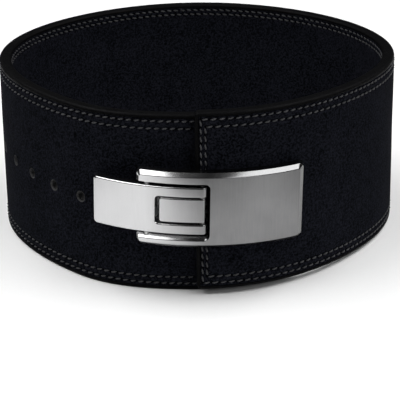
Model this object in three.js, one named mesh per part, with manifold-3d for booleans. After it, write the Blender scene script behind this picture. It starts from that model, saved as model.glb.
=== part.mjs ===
// A weightlifting belt of stitched leather and suede, closed in a ring by a metal lever.
// Millimetres, +Z up. The belt stands on its lower edge, and the lever faces -Y.
// The strap runs anticlockwise from the flap's end, seen from above, to the end under the flap.
import * as THREE from 'three';
import { mergeVertices } from 'three/addons/utils/BufferGeometryUtils.js';
import Module from 'manifold-3d';

const wasm = await Module();
wasm.setup();

// Strap
const beltWidth = 100;
const strapThickness = 7;
const suedeThickness = 1.4;
const layerGap = 0.2;
const rimBand = 2.2;
const rimChamfer = 1.6;
const endCornerRadius = 2.5;
const cornerSteps = 3;
const stationLength = 9.5;

// Closed ring
const ringRadius = 114.1;
const lapLength = 58;
const lapGap = 0.4;
const tuckLength = 70;
const flapEdgeX = -1.5;
const flapLift = 3.6;
const flapLiftLength = 230;
// Waves round the ring, as shares of its radius
const ringWaves = [
  { waves: 2, cosine: -0.005, sine: -0.004 },
  { waves: 3, cosine: 0, sine: 0.019 },
  { waves: 4, cosine: 0.014, sine: 0 },
];

// Row of holes in the end that carries the lever; the first ones hold its screws
const holeDiameter = 5.4;
const holePitch = 22.1;
const firstHoleHeight = 46.8;
const holeRise = 0.6;
const screwCount = 2;
const freeHoleCount = 5;

// Slits in the flap for the hooks
const slitFromFlapEnd = [25, 42];
const slitSpacing = 19;
const slitLength = 8.4;
const slitWidth = 3;

// Lever
const leverHeight = 52;
const leverTilt = 1.5;
const leverFaceRadius = 100;
const leverStandoff = 8;
const pieceGap = 0.3;
const handleThickness = 5.2;
const handleWidth = 26.4;
const handleTipX = -55.5;
const handleCornerRadius = 2;
const handleSlotWidth = 15.2;
const handleSlotEndX = -22.8;
const handlePivotX = 2;
const hookPivotX = -27.2;
const pinRadius = 1.3;
const pinClearance = 0.3;
const pinSetback = 1;
const hookPlateWidth = 42;
const hookPlateThickness = 7.2;
const hookPlateWall = 2.4;
const hookPlateLeftX = -32.6;
const hookPlateRightX = 55.4;
const hookPlateCornerRadius = 3;
const cutoutWidth = 28.8;
const cutoutGap = 0.9;
const cutoutCornerRadius = 2;
const hookPinSeat = 4.5;
const hookThickness = 1.8;
const hookWidth = 7;
const hookReach = 6;

// Base plate under the handle, with the tongue that carries the handle
const basePlateThickness = 2;
const basePlateWidth = 17;
const basePlateHeight = 51;
const basePlateLength = 51;
const basePlateFromFlap = 3;
const tongueWidth = 14;
const tongueLength = 17.8;
const tongueSetback = 0.6;
const tongueBevel = 1.2;

// Screws and posts
const screwFromTongue = 0.5;
const screwHeadRadius = 3.2;
const screwHeadThickness = 1.5;
const screwRadius = 1.2;
const postRadius = 2.4;
const postWall = 0.8;
const postFlangeRadius = 4.6;
const postFlangeGap = 0.5;
const postFlangeThickness = 1.4;

// The first screw sits just behind the tongue
const firstHoleFromFlap = basePlateFromFlap + tongueLength + screwFromTongue + screwHeadRadius;

// Working values
const roundSides = 16;
const sampleCount = 1440;
const cutMargin = 3;
const frontAngle = -Math.PI / 2;
const fullTurn = 2 * Math.PI;

const ringRadiusAt = (angle) => {
  let share = 1;
  for (const { waves, cosine, sine } of ringWaves) {
    share += cosine * Math.cos(waves * angle) + sine * Math.sin(waves * angle);
  }
  return ringRadius * share;
};

const ringSlopeAt = (angle) => {
  let slope = 0;
  for (const { waves, cosine, sine } of ringWaves) {
    slope += waves * (sine * Math.cos(waves * angle) - cosine * Math.sin(waves * angle));
  }
  return ringRadius * slope;
};

// A plan point that lies the given distance outside the ring's outer line
function ringPoint(angle, outward) {
  const radius = ringRadiusAt(angle);
  const slope = ringSlopeAt(angle);
  const along = new THREE.Vector2(
    slope * Math.cos(angle) - radius * Math.sin(angle),
    slope * Math.sin(angle) + radius * Math.cos(angle),
  ).normalize();
  const place = new THREE.Vector2(radius * Math.cos(angle), radius * Math.sin(angle));
  return place.add(new THREE.Vector2(along.y, -along.x).multiplyScalar(outward));
}

const flapEdgeAngle = frontAngle + flapEdgeX / ringRadiusAt(frontAngle);

// Distance along the ring's outer line for evenly spaced angles over two turns
const lengthTable = [0];
for (let step = 1; step <= 2 * sampleCount; step += 1) {
  const before = ringPoint(flapEdgeAngle + (step - 1) * fullTurn / sampleCount, 0);
  const after = ringPoint(flapEdgeAngle + step * fullTurn / sampleCount, 0);
  lengthTable.push(lengthTable[step - 1] + before.distanceTo(after));
}
const ringLength = lengthTable[sampleCount];
const strapLength = ringLength + lapLength;

function angleAtDistance(distance) {
  const meanStep = ringLength / sampleCount;
  if (distance < 0) {
    return flapEdgeAngle + distance / ringRadiusAt(flapEdgeAngle);
  }
  let step = Math.min(Math.floor(distance / meanStep), 2 * sampleCount - 1);
  while (step > 0 && lengthTable[step] > distance) step -= 1;
  while (step < 2 * sampleCount - 1 && lengthTable[step + 1] < distance) step += 1;
  const share = (distance - lengthTable[step]) / (lengthTable[step + 1] - lengthTable[step]);
  return flapEdgeAngle + (step + share) * fullTurn / sampleCount;
}

// The end under the flap eases inwards by one thickness before the flap starts
function tuckAt(distance) {
  const share = THREE.MathUtils.smoothstep(distance, ringLength - tuckLength, ringLength);
  return (strapThickness + lapGap) * share;
}

// The flap closes a little higher than the end that it covers
function liftAt(distance) {
  return flapLift * (1 - THREE.MathUtils.smoothstep(distance, 0, flapLiftLength));
}

// A point of the strap: distance from the flap's end, depth under the outer face, height on the strap
function strapPoint(distance, depth, height) {
  const place = ringPoint(angleAtDistance(distance), -tuckAt(distance) - depth);
  return new THREE.Vector3(place.x, place.y, height + liftAt(distance));
}

function solidFrom(geometry) {
  const bare = geometry.clone();
  bare.deleteAttribute('normal');
  bare.deleteAttribute('uv');
  const merged = mergeVertices(bare, 1e-5);
  return new wasm.Manifold(new wasm.Mesh({
    numProp: 3,
    vertProperties: new Float32Array(merged.attributes.position.array),
    triVerts: new Uint32Array(merged.index.array),
  }));
}

function geometryFrom(solid) {
  const mesh = solid.getMesh();
  const geometry = new THREE.BufferGeometry();
  geometry.setAttribute('position', new THREE.BufferAttribute(mesh.vertProperties, 3));
  geometry.setIndex(new THREE.BufferAttribute(mesh.triVerts, 1));
  geometry.computeVertexNormals();
  return geometry;
}

// Evenly spaced stations between two distances, with closer ones round the corners at both ends
function stationsBetween(from, to, cornerRadius) {
  const stations = [];
  const count = Math.ceil((to - from - 2 * cornerRadius) / stationLength);
  for (let step = 0; step < cornerSteps && cornerRadius > 0; step += 1) {
    stations.push(from + cornerRadius * (1 - Math.cos(step / cornerSteps * Math.PI / 2)));
  }
  for (let step = 0; step <= count; step += 1) {
    stations.push(from + cornerRadius + (to - from - 2 * cornerRadius) * step / count);
  }
  for (let step = cornerSteps - 1; step >= 0 && cornerRadius > 0; step -= 1) {
    stations.push(to - cornerRadius * (1 - Math.cos(step / cornerSteps * Math.PI / 2)));
  }
  return stations;
}

// How far the rounded corner draws the upper and lower edges in at a distance from the end
function cornerInset(fromEnd, cornerRadius) {
  if (fromEnd >= cornerRadius) return 0;
  return cornerRadius - Math.sqrt(cornerRadius ** 2 - (cornerRadius - fromEnd) ** 2);
}

// A closed band along the strap, between two depths and two heights, with its long edges chamfered
function strapBand({ from, to, outer, inner, low, high, chamfer = 0, cornerRadius = 0 }) {
  const stations = stationsBetween(from, to, cornerRadius);
  const rings = stations.map((distance) => {
    const inset = cornerInset(Math.min(distance - from, to - distance), cornerRadius);
    const bottom = low + inset;
    const top = high - inset;
    const section = chamfer > 0 ? [
      [outer, bottom + chamfer], [outer + chamfer, bottom],
      [inner - chamfer, bottom], [inner, bottom + chamfer],
      [inner, top - chamfer], [inner - chamfer, top],
      [outer + chamfer, top], [outer, top - chamfer],
    ] : [[outer, bottom], [inner, bottom], [inner, top], [outer, top]];
    return section.map(([depth, height]) => strapPoint(distance, depth, height));
  });
  const sides = rings[0].length;
  const positions = rings.flat().flatMap((point) => point.toArray());
  const faces = [];
  for (let station = 0; station + 1 < rings.length; station += 1) {
    for (let side = 0; side < sides; side += 1) {
      const here = station * sides + side;
      const next = station * sides + (side + 1) % sides;
      faces.push(here, next, next + sides, here, next + sides, here + sides);
    }
  }
  const last = (rings.length - 1) * sides;
  for (let side = 1; side + 1 < sides; side += 1) {
    faces.push(0, side + 1, side, last, last + side, last + side + 1);
  }
  const geometry = new THREE.BufferGeometry();
  geometry.setAttribute('position', new THREE.Float32BufferAttribute(positions, 3));
  geometry.setIndex(faces);
  return solidFrom(geometry);
}

// A round bar through the strap, square to its face, between two depths
function barThroughStrap(distance, height, radius, outer, inner) {
  const geometry = new THREE.CylinderGeometry(radius, radius, inner - outer, roundSides);
  return solidFrom(alignThroughStrap(geometry, distance, height, (outer + inner) / 2));
}

// Turns a geometry whose axis is +Y so that +Y points out of the strap, and centres it at a depth
function alignThroughStrap(geometry, distance, height, depth) {
  const outside = strapPoint(distance, 0, height);
  const along = strapPoint(distance + 1, 0, height).sub(strapPoint(distance - 1, 0, height));
  const outward = new THREE.Vector3(along.y, -along.x, 0).normalize();
  geometry.applyQuaternion(new THREE.Quaternion().setFromUnitVectors(new THREE.Vector3(0, 1, 0), outward));
  const place = outside.addScaledVector(outward, -depth);
  return geometry.translate(place.x, place.y, place.z);
}

// Distance along the strap of a hole in the row, counted from the flap's edge
const rowDistance = (index) => ringLength - firstHoleFromFlap - index * holePitch;

// The row climbs a little away from the lever
const rowHeight = (index) => firstHoleHeight + index * holeRise;

function rowCuts() {
  const cuts = [];
  for (let index = 0; index < screwCount + freeHoleCount; index += 1) {
    const place = [rowDistance(index), rowHeight(index)];
    cuts.push(barThroughStrap(...place, holeDiameter / 2, -cutMargin, strapThickness + cutMargin));
  }
  return cuts;
}

// The lever leans by some degrees, with the hooks' end lower
const tilted = (solid) => solid
  .translate([0, 0, -leverHeight])
  .rotate([0, leverTilt, 0])
  .translate([0, 0, leverHeight]);

// Places of the hooks on the flap's outer face before the lever is tilted, two rows of two
function hookPlaces() {
  const places = [];
  for (const distance of slitFromFlapEnd) {
    for (const side of [-1, 1]) {
      const point = strapPoint(distance, 0, 0);
      places.push(new THREE.Vector3(point.x, point.y, leverHeight + side * slitSpacing / 2));
    }
  }
  return places;
}

// The slits run straight back from the front, through the flap alone
function slitCuts() {
  const flapZone = strapBand({
    from: -cutMargin,
    to: lapLength + cutMargin,
    outer: -cutMargin,
    inner: strapThickness + lapGap / 2,
    low: -cutMargin,
    high: beltWidth + cutMargin,
  });
  return hookPlaces().map((place) => {
    const depth = 4 * strapThickness;
    const box = new THREE.BoxGeometry(slitWidth, depth, slitLength).translate(place.x, place.y, place.z);
    return tilted(solidFrom(box)).intersect(flapZone);
  });
}

const strapCuts = [...rowCuts(), ...slitCuts()];
const withStrapCuts = (solid) => strapCuts.reduce((rest, cut) => rest.subtract(cut), solid);

// Shallow bands on both faces of the core, which the suede faces fill
function suedeBand(outside, grow) {
  const inset = rimBand - grow;
  const depth = suedeThickness + grow;
  const clear = grow > 0 ? cutMargin : 0;
  return strapBand({
    from: inset,
    to: strapLength - inset,
    outer: outside ? -clear : strapThickness - depth,
    inner: outside ? depth : strapThickness + clear,
    low: inset,
    high: beltWidth - inset,
  });
}

function coreSolid() {
  const body = strapBand({
    from: 0,
    to: strapLength,
    outer: 0,
    inner: strapThickness,
    low: 0,
    high: beltWidth,
    chamfer: rimChamfer,
    cornerRadius: endCornerRadius,
  });
  return withStrapCuts(body.subtract(pocketOnFace(true)).subtract(pocketOnFace(false)));
}

// A pocket reaches past its own face, but not into the other layer where the ends lap
function pocketOnFace(outside) {
  const pocket = suedeBand(outside, layerGap);
  const lapZone = strapBand({
    from: -cutMargin,
    to: strapLength + cutMargin,
    outer: -lapGap / 2,
    inner: strapThickness + lapGap / 2,
    low: -cutMargin,
    high: beltWidth + flapLift + cutMargin,
  });
  return pocket.intersect(lapZone);
}

// The post comes through the strap from the inside, and the screw goes into it from the outside
const headDepth = -2 * pieceGap - basePlateThickness;

// Where a circle's centre lies behind the front if the circle's face passes through a plan point
const centreBehind = (point, radius) => point.y + Math.sqrt(radius ** 2 - point.x ** 2);

// The lever's plates share one curve, which stands off the flap and clears what lies under its ends
function findLeverCentreY() {
  const flapFront = ringPoint(frontAngle, 0);
  const plateEnd = ringPoint(frontAngle + Math.asin(hookPlateRightX / ringRadiusAt(frontAngle)), pieceGap);
  const headTop = headDepth - screwHeadThickness - pieceGap;
  const headEdge = strapPoint(rowDistance(screwCount - 1) - screwHeadRadius, headTop, 0);
  return Math.min(
    centreBehind(flapFront, leverFaceRadius - leverStandoff),
    centreBehind(plateEnd, leverFaceRadius - hookPlateThickness),
    centreBehind(headEdge, leverFaceRadius - handleThickness),
  );
}

const leverCentreY = findLeverCentreY();
const pinCurveRadius = leverFaceRadius - handleThickness / 2;
const onLeverCurve = (x, radius) => new THREE.Vector2(x, leverCentreY - Math.sqrt(radius ** 2 - x ** 2));
const handlePivot = onLeverCurve(handlePivotX, pinCurveRadius);
const hookPivot = onLeverCurve(hookPivotX, pinCurveRadius);

// A plan shape extruded upwards round the lever's height
function standingSolid(shape, width) {
  const settings = { depth: width, bevelEnabled: false, curveSegments: 24 };
  const geometry = new THREE.ExtrudeGeometry(shape, settings);
  return solidFrom(geometry.translate(0, 0, leverHeight - width / 2));
}

// A front outline, in X and height, extruded back through the lever
function frontSolid(shape) {
  const depth = 2 * leverFaceRadius;
  const geometry = new THREE.ExtrudeGeometry(shape, { depth, bevelEnabled: false, curveSegments: 4 });
  return solidFrom(geometry.rotateX(Math.PI / 2).translate(0, leverCentreY, leverHeight));
}

function arcBand(innerRadius, outerRadius, leftX, rightX) {
  const angleAt = (x, radius) => frontAngle + Math.asin(x / radius);
  const shape = new THREE.Shape();
  const along = (radius, from, to, backwards) => {
    shape.absarc(0, leverCentreY, radius, angleAt(from, radius), angleAt(to, radius), backwards);
  };
  along(outerRadius, leftX, rightX, false);
  along(innerRadius, rightX, leftX, true);
  return shape;
}

function roundedRectangle(left, right, bottom, top, radius) {
  const shape = new THREE.Shape();
  shape.moveTo(left + radius, bottom);
  shape.lineTo(right - radius, bottom);
  shape.absarc(right - radius, bottom + radius, radius, -Math.PI / 2, 0, false);
  shape.lineTo(right, top - radius);
  shape.absarc(right - radius, top - radius, radius, 0, Math.PI / 2, false);
  shape.lineTo(left + radius, top);
  shape.absarc(left + radius, top - radius, radius, Math.PI / 2, Math.PI, false);
  shape.lineTo(left, bottom + radius);
  shape.absarc(left + radius, bottom + radius, radius, Math.PI, 1.5 * Math.PI, false);
  return shape;
}

function uprightBar(place, radius, length) {
  const geometry = new THREE.CylinderGeometry(radius, radius, length, roundSides);
  return solidFrom(geometry.rotateX(Math.PI / 2).translate(place.x, place.y, leverHeight));
}

// The handle: a curved bar, forked at its pivot end
function handleSolid() {
  const innerRadius = leverFaceRadius - handleThickness;
  const bar = standingSolid(arcBand(innerRadius, leverFaceRadius, handleTipX, handlePivotX), handleWidth);
  const halfWidth = handleWidth / 2;
  const rightX = handlePivotX + handleThickness;
  const outline = roundedRectangle(handleTipX, rightX, -halfWidth, halfWidth, handleCornerRadius);
  const halfSlot = handleSlotWidth / 2;
  const slotEndX = handlePivotX + 2 * handleThickness;
  const slot = roundedRectangle(handleSlotEndX, slotEndX, -halfSlot, halfSlot, handleCornerRadius);
  return bar
    .add(uprightBar(handlePivot, handleThickness / 2, handleWidth))
    .intersect(frontSolid(outline))
    .subtract(frontSolid(slot))
    .subtract(uprightBar(handlePivot, pinRadius + pinClearance, 2 * handleWidth))
    .subtract(uprightBar(hookPivot, pinRadius + pinClearance, 2 * handleWidth));
}

// The hook plate: a curved shell with turned rims, two arms beside the handle, and four hooks
function hookPlateSolid() {
  const innerRadius = leverFaceRadius - hookPlateThickness;
  const wall = hookPlateWall;
  const block = standingSolid(
    arcBand(innerRadius, leverFaceRadius, hookPlateLeftX, hookPlateRightX),
    hookPlateWidth,
  );
  const halfWidth = hookPlateWidth / 2;
  const ends = [hookPlateLeftX, hookPlateRightX];
  const outline = roundedRectangle(...ends, -halfWidth, halfWidth, hookPlateCornerRadius);
  const cutoutEndX = handlePivotX + handleThickness / 2 + cutoutGap;
  const cutoutHalf = cutoutWidth / 2;
  const cutoutStartX = hookPlateLeftX - 2 * cutoutCornerRadius;
  const cutout = roundedRectangle(cutoutStartX, cutoutEndX, -cutoutHalf, cutoutHalf, cutoutCornerRadius);
  const pocketEnds = [cutoutEndX + wall, hookPlateRightX - wall];
  const pocketShape = arcBand(innerRadius - wall, leverFaceRadius - wall, ...pocketEnds);
  const pocket = standingSolid(pocketShape, hookPlateWidth - 2 * wall);
  const seatLength = cutoutWidth + 2 * hookPinSeat + 2 * pinClearance;
  const pinSeat = uprightBar(hookPivot, pinRadius + pinClearance, seatLength);
  let plate = block
    .intersect(frontSolid(outline))
    .subtract(frontSolid(cutout))
    .subtract(pocket)
    .subtract(pinSeat);
  for (const place of hookPlaces()) {
    plate = plate.add(hookSolid(place));
  }
  return plate;
}

function hookSolid(place) {
  const rootY = onLeverCurve(place.x, leverFaceRadius - hookPlateWall / 2).y;
  const tipY = place.y + hookReach;
  const geometry = new THREE.BoxGeometry(hookThickness, tipY - rootY, hookWidth);
  return solidFrom(geometry.translate(place.x, (tipY + rootY) / 2, place.z));
}

// The base plate lies on the strap beside the flap, and its tongue reaches over the flap's end
function basePlateSolid() {
  const plateEnd = ringLength - basePlateFromFlap;
  const plate = strapBand({
    from: plateEnd - basePlateLength,
    to: plateEnd,
    outer: -pieceGap - basePlateThickness,
    inner: -pieceGap,
    low: basePlateHeight - basePlateWidth / 2,
    high: basePlateHeight + basePlateWidth / 2,
  });
  let base = plate.add(tilted(tongueSolid(plateEnd)));
  for (let index = 0; index < screwCount; index += 1) {
    const radius = screwRadius + pinClearance;
    base = base.subtract(barThroughStrap(rowDistance(index), rowHeight(index), radius, -2 * cutMargin, 0));
  }
  return base;
}

function tongueSolid(plateEnd) {
  const faceRadius = leverFaceRadius - tongueSetback;
  const knuckleRadius = faceRadius - pinCurveRadius;
  const footDepth = -pieceGap - basePlateThickness / 2;
  const leftFoot = strapPoint(plateEnd - tongueLength, footDepth, 0);
  const rightFoot = strapPoint(plateEnd, footDepth, 0);
  const bevelRadius = faceRadius - tongueBevel;
  const leftTop = onLeverCurve(leftFoot.x, bevelRadius);
  const shape = new THREE.Shape();
  shape.moveTo(leftFoot.x, leftFoot.y);
  shape.lineTo(leftTop.x, leftTop.y);
  const startAngle = frontAngle + Math.asin((leftFoot.x + tongueBevel) / faceRadius);
  const pivotAngle = frontAngle + Math.asin(handlePivotX / pinCurveRadius);
  shape.absarc(0, leverCentreY, faceRadius, startAngle, pivotAngle, false);
  shape.absarc(handlePivot.x, handlePivot.y, knuckleRadius, pivotAngle, pivotAngle + Math.PI, false);
  const underside = onLeverCurve(rightFoot.x, pinCurveRadius - knuckleRadius);
  shape.lineTo(underside.x, underside.y);
  shape.lineTo(rightFoot.x, rightFoot.y);
  return standingSolid(shape, tongueWidth)
    .subtract(uprightBar(handlePivot, pinRadius + pinClearance, 2 * tongueWidth));
}

// A turned piece in one of the row's holes, its base at a depth under the outer face
function turnedThroughStrap(profile, index, depth) {
  const geometry = new THREE.LatheGeometry(profile, roundSides);
  const placed = alignThroughStrap(geometry, rowDistance(index), rowHeight(index), depth);
  return geometryFrom(solidFrom(placed));
}

function screwGeometry(index) {
  const shankLength = strapThickness - headDepth - 2 * pieceGap;
  const profile = [
    new THREE.Vector2(0, -shankLength),
    new THREE.Vector2(screwRadius, -shankLength),
    new THREE.Vector2(screwRadius, 0),
    new THREE.Vector2(screwHeadRadius, 0),
    new THREE.Vector2(screwHeadRadius, screwHeadThickness / 2),
    new THREE.Vector2(screwHeadRadius - screwHeadThickness / 2, screwHeadThickness),
    new THREE.Vector2(0, screwHeadThickness),
  ];
  return turnedThroughStrap(profile, index, headDepth);
}

function postGeometry(index) {
  const flangeDepth = strapThickness + postFlangeGap;
  const barrelLength = flangeDepth - pieceGap;
  const bore = postRadius - postWall;
  const profile = [
    new THREE.Vector2(0, -postFlangeThickness),
    new THREE.Vector2(postFlangeRadius - postFlangeThickness / 2, -postFlangeThickness),
    new THREE.Vector2(postFlangeRadius, -postFlangeThickness / 2),
    new THREE.Vector2(postFlangeRadius, 0),
    new THREE.Vector2(postRadius, 0),
    new THREE.Vector2(postRadius, barrelLength),
    new THREE.Vector2(bore, barrelLength),
    new THREE.Vector2(bore, 0),
    new THREE.Vector2(0, 0),
  ];
  return turnedThroughStrap(profile, index, flangeDepth);
}

const dyedLeather = new THREE.MeshStandardMaterial({ color: 0x0b0b0c, roughness: 0.55, metalness: 0 });
const blackSuede = new THREE.MeshStandardMaterial({ color: 0x17181b, roughness: 0.95, metalness: 0 });
const polishedMetal = new THREE.MeshStandardMaterial({ color: 0xcfd0d2, roughness: 0.18, metalness: 1 });
const plainSteel = new THREE.MeshStandardMaterial({ color: 0x9a9b9d, roughness: 0.35, metalness: 1 });

const belt = new THREE.Group();

function addPiece(name, geometry, material) {
  const piece = new THREE.Mesh(geometry, material);
  piece.name = name;
  belt.add(piece);
}

addPiece('strap_core', geometryFrom(coreSolid()), dyedLeather);
addPiece('outer_suede', geometryFrom(withStrapCuts(suedeBand(true, 0))), blackSuede);
addPiece('inner_suede', geometryFrom(withStrapCuts(suedeBand(false, 0))), blackSuede);
addPiece('base_plate', geometryFrom(basePlateSolid()), polishedMetal);
addPiece('handle', geometryFrom(tilted(handleSolid())), polishedMetal);
addPiece('hook_plate', geometryFrom(tilted(hookPlateSolid())), polishedMetal);
const handlePin = uprightBar(handlePivot, pinRadius, handleWidth - 2 * pinSetback);
const hookPin = uprightBar(hookPivot, pinRadius, cutoutWidth + 2 * hookPinSeat);
addPiece('handle_pin', geometryFrom(tilted(handlePin)), plainSteel);
addPiece('hook_pin', geometryFrom(tilted(hookPin)), plainSteel);
for (let index = 0; index < screwCount; index += 1) {
  addPiece(`lever_screw_${index + 1}`, screwGeometry(index), plainSteel);
  addPiece(`lever_post_${index + 1}`, postGeometry(index), plainSteel);
}

// The origin is under the middle of the whole belt, on the surface that it stands on
const middle = new THREE.Box3().setFromObject(belt).getCenter(new THREE.Vector3());
belt.position.set(-middle.x, -middle.y, 0);

export default belt;
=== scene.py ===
"""The looks of a lever belt in stitched black suede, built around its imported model.

Lengths are millimetres on the strap and the lever until a mesh is made, which is in metres.
The strap runs anticlockwise from the flap's end, seen from above, to the end under the flap.
"""

import math

import bmesh
import bpy
import numpy as np
from mathutils import Matrix, Vector


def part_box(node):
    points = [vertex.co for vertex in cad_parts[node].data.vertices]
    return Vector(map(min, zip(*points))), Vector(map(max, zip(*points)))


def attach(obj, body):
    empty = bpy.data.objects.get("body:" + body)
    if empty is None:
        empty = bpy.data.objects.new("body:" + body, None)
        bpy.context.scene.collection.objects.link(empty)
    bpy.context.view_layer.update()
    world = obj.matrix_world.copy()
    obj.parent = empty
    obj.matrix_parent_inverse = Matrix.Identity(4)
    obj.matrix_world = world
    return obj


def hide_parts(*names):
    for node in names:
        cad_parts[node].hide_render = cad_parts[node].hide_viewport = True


MILLIMETRE = 0.001

# Strap
BELT_WIDTH = 100.0
STRAP_THICKNESS = 7.0
SUEDE_THICKNESS = 1.4
LAYER_GAP = 0.2
RIM_BAND = 2.2
RIM_ROUNDING = 1.6
LIP_ROUNDING = 0.3
END_CORNER_RADIUS = 2.5
SUEDE_ROUNDING = 0.6
SUEDE_SWELL = 0.07
SWELL_FADE = 4.0
LEAST_SUEDE = 0.15

# How close the points of the strap's meshes lie, and how far the close ones reach from each edge
CORE_STATION = 2.2
SUEDE_STATION = 0.9
FINE_START = 0.95
FINE_STEP = 0.42
FINE_TO_BOTTOM = 7.8
FINE_TO_TOP = 7.6
FINE_TO_END = 6.0
COARSE_HEIGHTS = 34
WALL_STEP = 0.01
ROUND_SIDES = 48
ROUNDING_STEPS = 4

# Closed ring
RING_RADIUS = 114.1
LAP_LENGTH = 58.0
LAP_GAP = 0.4
TUCK_LENGTH = 70.0
FLAP_EDGE_X = -1.5
FLAP_LIFT = 3.6
FLAP_LIFT_LENGTH = 230.0
RING_WAVES = [
    {"waves": 2, "cosine": -0.005, "sine": -0.004},
    {"waves": 3, "cosine": 0.0, "sine": 0.019},
    {"waves": 4, "cosine": 0.014, "sine": 0.0},
]
FRONT_ANGLE = -math.pi / 2
RING_SAMPLES = 2880

# Holes and slits
HOLE_RADIUS = 2.7
HOLE_PITCH = 22.1
FIRST_HOLE_HEIGHT = 46.8
HOLE_RISE = 0.6
SCREW_COUNT = 2
FREE_HOLE_COUNT = 5
HOLE_FLARE = 0.55
HOLE_MOUTH_RISE = 0.05
CUT_MARGIN = 2.0
SLIT_FROM_FLAP_END = [25.0, 42.0]
SLIT_SPACING = 19.0
SLIT_LENGTH = 8.4
SLIT_WIDTH = 3.0
SLIT_CUT_START = -4.0
SLIT_CUT_REACH = 1.06

# Stitching
ROWS_FROM_TOP = [3.6, 7.7]
INSIDE_ROWS_FROM_TOP = [3.6, 6.4]
ROWS_FROM_BOTTOM = [4.0, 7.7]
ROWS_FROM_END = [3.2, 5.6]
STITCH_PITCH = 4.5
STITCH_LENGTH = 3.3
STITCH_SLANT = 0.7
THREAD_RADIUS = 0.46
THREAD_RISE = 0.22
THREAD_SIDES = 8
THREAD_RINGS = 9
THREAD_TWISTS = 3
THREAD_TWIST_DEPTH = 0.13
THREAD_FLATNESS = 0.8
THREAD_TIP_SHARE = 0.35
THREAD_DIP = 0.45
CHANNEL_DEPTH = 0.28
CHANNEL_WIDTH = 0.8
NEEDLE_DEPTH = 0.75
NEEDLE_WIDTH = 0.75
# How much painted shade a stitch channel gets, against the full painted shade of a needle hole
CHANNEL_SHADE_TONE = 0.35

# Lever
LEVER_HEIGHT = 52.0
LEVER_TILT = math.radians(1.5)
LEVER_FACE_RADIUS = 100.0
LEVER_STANDOFF = 8.0
LEVER_STEP = 1.4
HANDLE_THICKNESS = 5.2
HANDLE_WIDTH = 26.4
HANDLE_TIP_X = -55.5
HANDLE_CORNER_RADIUS = 2.0
FORK_OUTER_RADIUS = 0.9
FORK_INNER_RADIUS = 0.5
HANDLE_SLOT_WIDTH = 15.2
HANDLE_SLOT_END_X = -22.8
HANDLE_PIVOT_X = 2.0
HOOK_PIVOT_X = -27.2
PIN_RADIUS = 1.3
PIN_ROUNDING = 0.3
PIN_CLEARANCE = 0.3
PIN_SETBACK = 1.0
HOOK_PLATE_WIDTH = 42.0
HOOK_PLATE_THICKNESS = 7.2
HOOK_PLATE_WALL = 2.4
HOOK_PLATE_LEFT_X = -32.6
HOOK_PLATE_RIGHT_X = 55.4
HOOK_PLATE_CORNER_RADIUS = 3.0
ARM_TIP_RADIUS = 1.0
CUTOUT_WIDTH = 28.8
CUTOUT_GAP = 0.9
CUTOUT_CORNER_RADIUS = 2.0
HOOK_PIN_SEAT = 4.5
HOOK_THICKNESS = 1.8
HOOK_WIDTH = 7.0
HOOK_REACH = 6.0
KNUCKLE_STEPS = 8
KNUCKLE_FLAT = 0.05
KNUCKLE_MARGIN = 0.02
HANDLE_ROUNDING = 0.8
BEVEL_HEIGHT = 2.1
BEVEL_DEPTH = 2.3
ARM_END_BEVEL_SHARE = 0.6
UPPER_NOTCH_BEVEL_SHARE = 0.35
NOTCH_BEVEL_SHARE = 0.25
BACK_ROUNDING = 0.3
POCKET_CORNER_RADIUS = 1.5
POCKET_ROUNDING = 0.5

# Base plate, its tongue, the screws and the posts
PIECE_GAP = 0.3
BASE_PLATE_THICKNESS = 2.0
BASE_PLATE_WIDTH = 17.0
BASE_PLATE_HEIGHT = 51.0
BASE_PLATE_LENGTH = 51.0
BASE_PLATE_FROM_FLAP = 3.0
BASE_PLATE_CORNER_RADIUS = 2.0
BASE_PLATE_ROUNDING = 0.5
BASE_PLATE_END_THINNING = 0.6
BASE_PLATE_STATION = 1.5
TONGUE_WIDTH = 14.0
TONGUE_LENGTH = 17.8
TONGUE_SETBACK = 0.6
TONGUE_BEVEL = 1.0
TONGUE_FOOT_RADIUS = 1.6
TONGUE_END_RADIUS = 0.4
TONGUE_FOOT_SHARE = 0.6
SCREW_FROM_TONGUE = 0.5
SCREW_HEAD_RADIUS = 3.2
SCREW_HEAD_THICKNESS = 1.5
SCREW_RADIUS = 1.2
POST_RADIUS = 2.4
POST_WALL = 0.8
POST_FLANGE_RADIUS = 4.6
POST_FLANGE_GAP = 0.5
POST_FLANGE_THICKNESS = 1.4
SLOT_WIDTH = 0.9
SLOT_DEPTH = 0.6
BORE_REACH = 8.0

# How far the screw's head and the post's flange are drawn in, and at what height
SCREW_DOME = [(0.1, 0.0), (0.0, 0.1), (0.0, 0.5), (0.2, 0.85), (0.8, 1.25), (1.8, SCREW_HEAD_THICKNESS)]
POST_DOME = [(1.6, 0.0), (0.7, 0.15), (0.15, 0.5), (0.0, 0.9)]
POST_EDGE = 0.1

# The first screw sits just behind the tongue
FIRST_HOLE_FROM_FLAP = BASE_PLATE_FROM_FLAP + TONGUE_LENGTH + SCREW_FROM_TONGUE + SCREW_HEAD_RADIUS

# Camera, from a pinhole camera fitted to the photograph's edges
IMAGE_SIZE = 400
FOCAL_PIXELS = 1609.5
SENSOR_WIDTH = 36.0
CAMERA_PLACE = (0.001257, -0.893829, 0.373)
CAMERA_PITCH = 0.3548
CAMERA_ROLL = 0.0138
VIEW_CENTRE_ABOVE_MIDDLE = 50

# Where along X, in metres, the metal goes from a painted bright reflection to its plain tone
PAINTED_REFLECTION_FADE = (-0.028, 0.004)
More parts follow.
